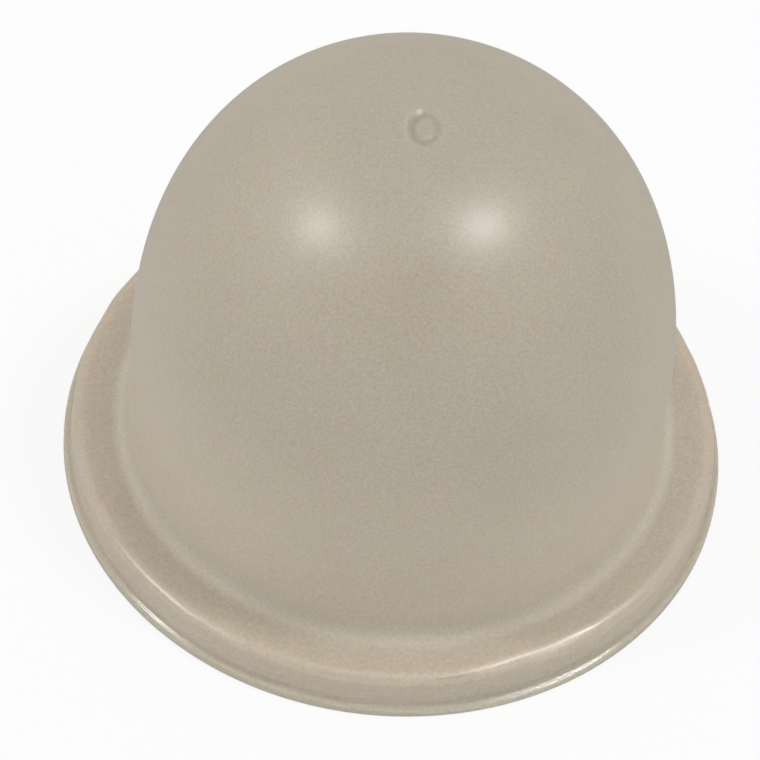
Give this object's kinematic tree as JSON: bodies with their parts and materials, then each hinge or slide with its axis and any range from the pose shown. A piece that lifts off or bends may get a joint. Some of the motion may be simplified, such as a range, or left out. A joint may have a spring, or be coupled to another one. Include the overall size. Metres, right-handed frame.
{
  "type": "primer bulb",
  "caption": "Small milky rubber dome on a round flange, hollow and open underneath, pressed by a thumb to prime a small engine's carburettor.",
  "frame": {"origin": "centre of the flange's underside, which is the lowest face", "axes": "+Z along the bulb's axis, from the open mouth towards the dome's top; X and Y are free, because the bulb is round"},
  "size_m": [0.0222, 0.0222, 0.0162],
  "materials": {
    "milky_rubber": "satin, fine grained, milky beige that lets a little light through"
  },
  "bodies": {
    "root": {"primer_bulb": "milky_rubber"}
  },
  "joints": []
}
